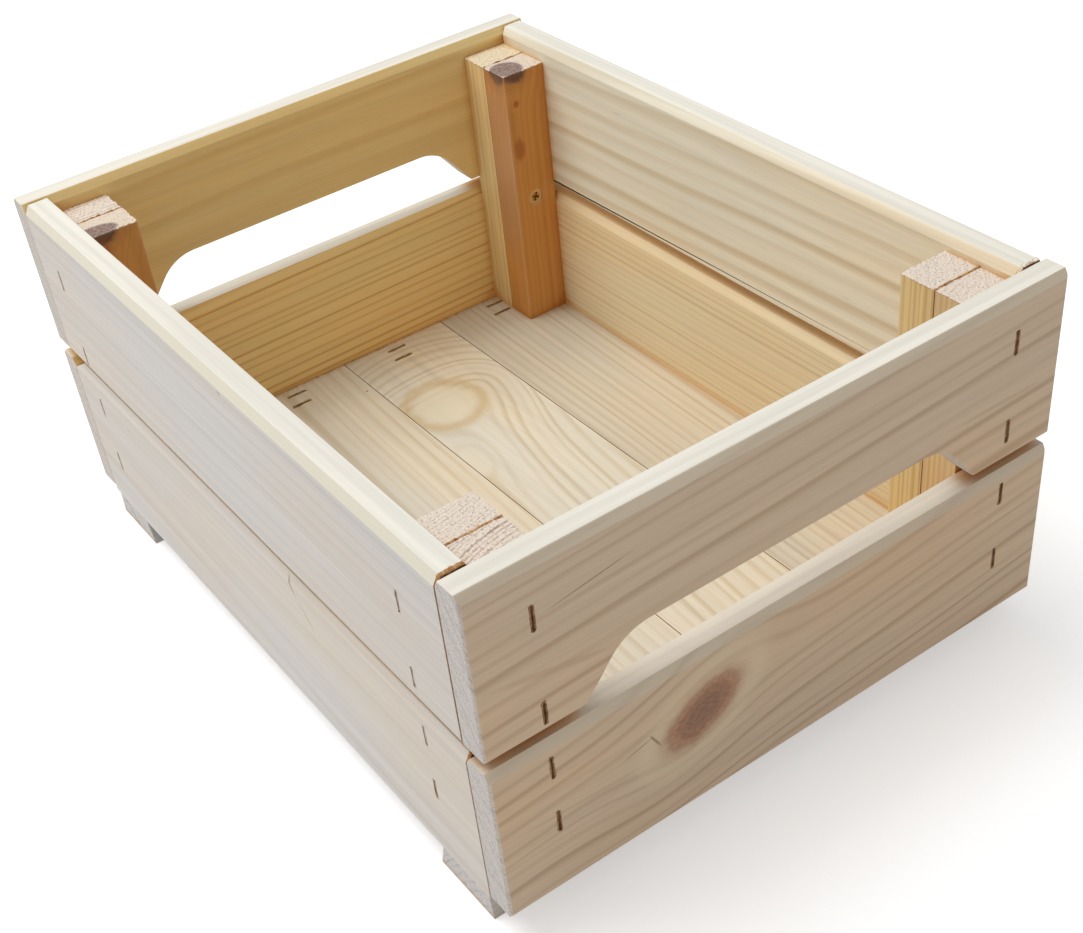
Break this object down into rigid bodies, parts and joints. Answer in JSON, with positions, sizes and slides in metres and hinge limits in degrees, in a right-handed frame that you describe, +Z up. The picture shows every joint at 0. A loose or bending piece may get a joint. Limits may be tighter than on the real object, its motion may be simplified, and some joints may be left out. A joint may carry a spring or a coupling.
{
  "type": "apple crate",
  "caption": "Small slatted softwood crate with a handle opening in each end wall, corner posts made of paired battens, a boarded floor and two cross feet.",
  "frame": {"origin": "on the ground under the middle of the crate", "axes": "+X across the width, along the end walls; +Y along the length, from the front end wall to the back one; +Z up"},
  "size_m": [0.24, 0.32, 0.151],
  "materials": {
    "front_wall_pine": "bare planed softwood, straight grain, one large brown knot, sanded edges",
    "back_wall_pine": "bare planed softwood, warm straight grain",
    "left_wall_pine": "bare planed softwood, pale with faint grain",
    "right_wall_pine": "bare planed softwood, wavy horizontal grain",
    "floor_pine": "bare planed softwood, cathedral grain",
    "foot_pine": "bare rough-sawn softwood",
    "pale_post_pine": "bare sawn softwood, rough end grain",
    "golden_post_pine": "bare sawn softwood with close vertical grain",
    "reddish_post_pine": "bare sawn heartwood, reddish, with a dark knot at the top",
    "staple_wire": "darkened steel wire, sunk below the surface",
    "screw_steel": "yellow-passivated steel, cross recess"
  },
  "bodies": {
    "root": {"end_board_front_upper": "front_wall_pine", "end_board_front_lower": "front_wall_pine", "end_board_back_upper": "back_wall_pine", "end_board_back_lower": "back_wall_pine", "side_board_left_upper": "left_wall_pine", "side_board_left_lower": "left_wall_pine", "side_board_right_upper": "right_wall_pine", "side_board_right_lower": "right_wall_pine", "post_front_left_outer": "pale_post_pine", "post_front_left_inner": "pale_post_pine", "post_front_right_outer": "golden_post_pine", "post_front_right_inner": "golden_post_pine", "post_back_left_outer": "pale_post_pine", "post_back_left_inner": "reddish_post_pine", "post_back_right_outer": "pale_post_pine", "post_back_right_inner": "reddish_post_pine", "floor_board_1": "floor_pine", "floor_board_2": "floor_pine", "floor_board_3": "floor_pine", "floor_board_4": "floor_pine", "foot_front": "foot_pine", "foot_back": "foot_pine", "staples_front_wall": "staple_wire", "staples_back_wall": "staple_wire", "staples_left_wall": "staple_wire", "staples_right_wall": "staple_wire", "staples_floor": "staple_wire", "post_screws": "screw_steel", "foot_screws": "screw_steel"}
  },
  "joints": []
}
